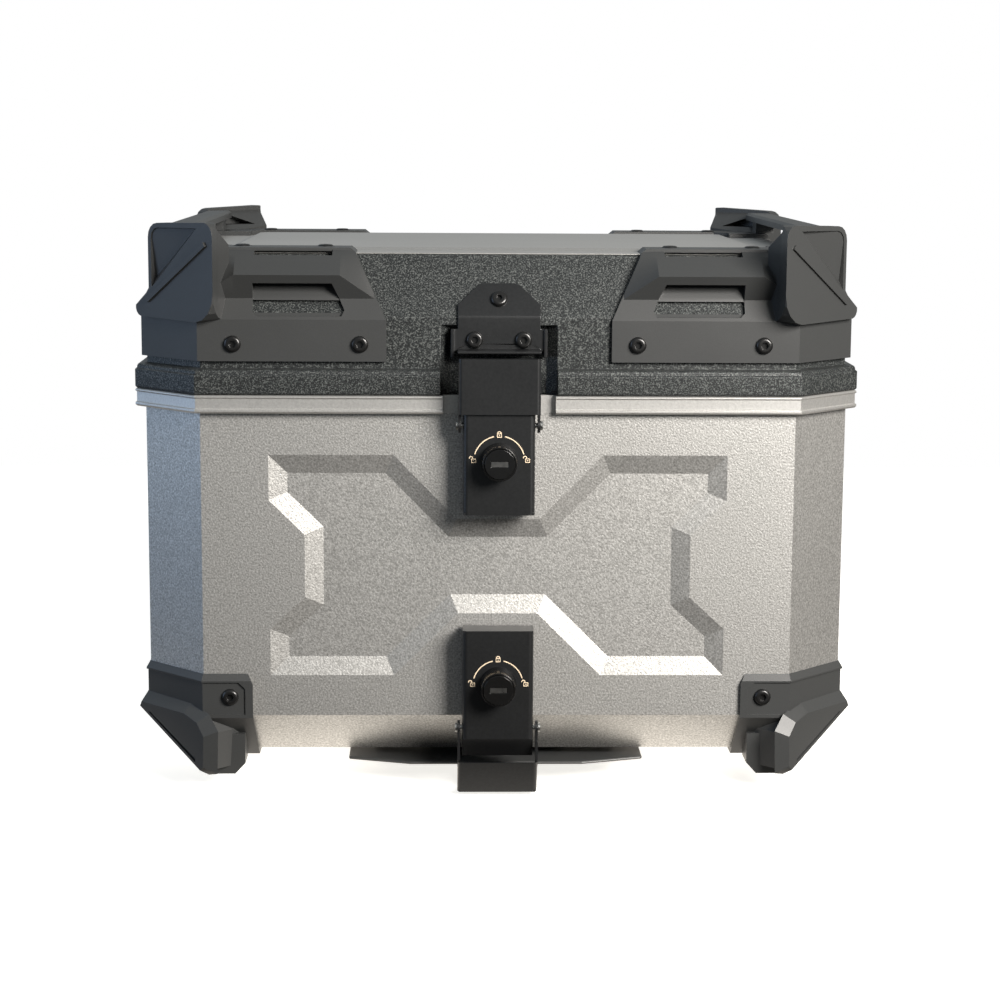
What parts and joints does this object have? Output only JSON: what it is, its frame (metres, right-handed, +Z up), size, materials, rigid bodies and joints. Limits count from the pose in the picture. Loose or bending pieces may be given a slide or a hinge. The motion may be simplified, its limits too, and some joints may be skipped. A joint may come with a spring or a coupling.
{
  "type": "motorcycle top case",
  "caption": "Aluminium motorcycle top case with a hinged lid, corner guards with tie-down loops, two key-locked draw latches and a slotted mounting plate.",
  "frame": {"origin": "middle of the mounting plate's underside, on the rack face", "axes": "+Z up, -Y towards the latch side, +X to the right as seen from the latch side, along the case's longest side"},
  "size_m": [0.4314, 0.3646, 0.3373],
  "materials": {
    "silver_powder_coat": "fine sand-textured powder coat on aluminium",
    "black_powder_coat": "sand-textured powder coat on aluminium",
    "seal_rubber": "matt EPDM",
    "felt_mat": "needled felt",
    "black_screws": "black oxide",
    "moulded_black": "satin moulded ABS",
    "zinc_steel": "zinc plated",
    "black_lock": "gloss black zinc casting",
    "black_steel": "smooth satin powder coat on steel"
  },
  "bodies": {
    "case": {"body_rim": "silver_powder_coat", "body_shell": "silver_powder_coat", "case_rail_bolts": "zinc_steel", "case_rail_left": "moulded_black", "case_rail_right": "moulded_black", "floor_mat": "felt_mat", "hinge_leaf_body_left": "black_steel", "hinge_leaf_body_right": "black_steel", "hinge_pin_left": "zinc_steel", "hinge_pin_right": "zinc_steel", "hinge_rivets_body": "zinc_steel", "latch_rivets": "zinc_steel", "lower_guard_front_left": "moulded_black", "lower_guard_front_right": "moulded_black", "lower_guard_rear_left": "moulded_black", "lower_guard_rear_right": "moulded_black", "lower_guard_screws": "black_screws", "lower_latch_base": "black_steel", "lower_pivot_pin": "zinc_steel", "mount_plate": "moulded_black", "upper_latch_base": "black_steel", "upper_pivot_pin": "zinc_steel"},
    "lid": {"lid_shell": "black_powder_coat", "lid_seal": "seal_rubber", "lid_top_panel": "silver_powder_coat", "upper_guard_front_left": "moulded_black", "upper_guard_front_right": "moulded_black", "upper_guard_rear_left": "moulded_black", "upper_guard_rear_right": "moulded_black", "side_rail_left": "moulded_black", "side_rail_right": "moulded_black", "upper_guard_screws": "black_screws", "lid_latch_bracket": "black_steel", "bracket_screws": "black_screws", "hinge_leaf_lid_left": "black_steel", "hinge_leaf_lid_right": "black_steel", "hinge_rivets_lid": "zinc_steel"},
    "upper_lever": {"upper_lever": "black_steel", "upper_link_pins": "zinc_steel", "upper_lock_bezel": "black_lock", "upper_lock_nut": "zinc_steel"},
    "upper_link": {"upper_link": "black_steel"},
    "upper_lock": {"upper_lock_plug": "black_lock", "upper_lock_shutter": "zinc_steel", "upper_lock_cam": "zinc_steel"},
    "lower_lever": {"lower_lever": "black_steel", "lower_link_pins": "zinc_steel", "lower_lock_bezel": "black_lock", "lower_lock_nut": "zinc_steel"},
    "lower_link": {"lower_link": "black_steel"},
    "lower_lock": {"lower_lock_plug": "black_lock", "lower_lock_shutter": "zinc_steel", "lower_lock_cam": "zinc_steel"}
  },
  "joints": [
    {"name": "lid_hinge", "type": "hinge", "parent": "case", "child": "lid", "pos_m": [0, 0.17, 0.23815], "axis": [-1, 0, 0], "range_deg": [0, 95]},
    {"name": "upper_latch", "type": "hinge", "parent": "case", "child": "upper_lever", "pos_m": [0, -0.163, 0.233], "axis": [-1, 0, 0], "range_deg": [0, 90]},
    {"name": "upper_link_pivot", "type": "hinge", "parent": "upper_lever", "child": "upper_link", "pos_m": [0, -0.169, 0.222], "axis": [-1, 0, 0], "range_deg": [-90, 0]},
    {"name": "upper_key", "type": "hinge", "parent": "upper_lever", "child": "upper_lock", "pos_m": [0, -0.175, 0.2019], "axis": [0, 1, 0], "range_deg": [-75, 75]},
    {"name": "lower_latch", "type": "hinge", "parent": "case", "child": "lower_lever", "pos_m": [0, -0.163, 0.032], "axis": [1, 0, 0], "range_deg": [0, 90]},
    {"name": "lower_link_pivot", "type": "hinge", "parent": "lower_lever", "child": "lower_link", "pos_m": [0, -0.169, 0.043], "axis": [1, 0, 0], "range_deg": [-90, 0]},
    {"name": "lower_key", "type": "hinge", "parent": "lower_lever", "child": "lower_lock", "pos_m": [0, -0.175, 0.0698], "axis": [0, 1, 0], "range_deg": [-75, 75]}
  ],
  "couplings": [
    {"joint": "upper_link_pivot", "follows": "upper_latch", "ratio": -1},
    {"joint": "lower_link_pivot", "follows": "lower_latch", "ratio": -1}
  ]
}
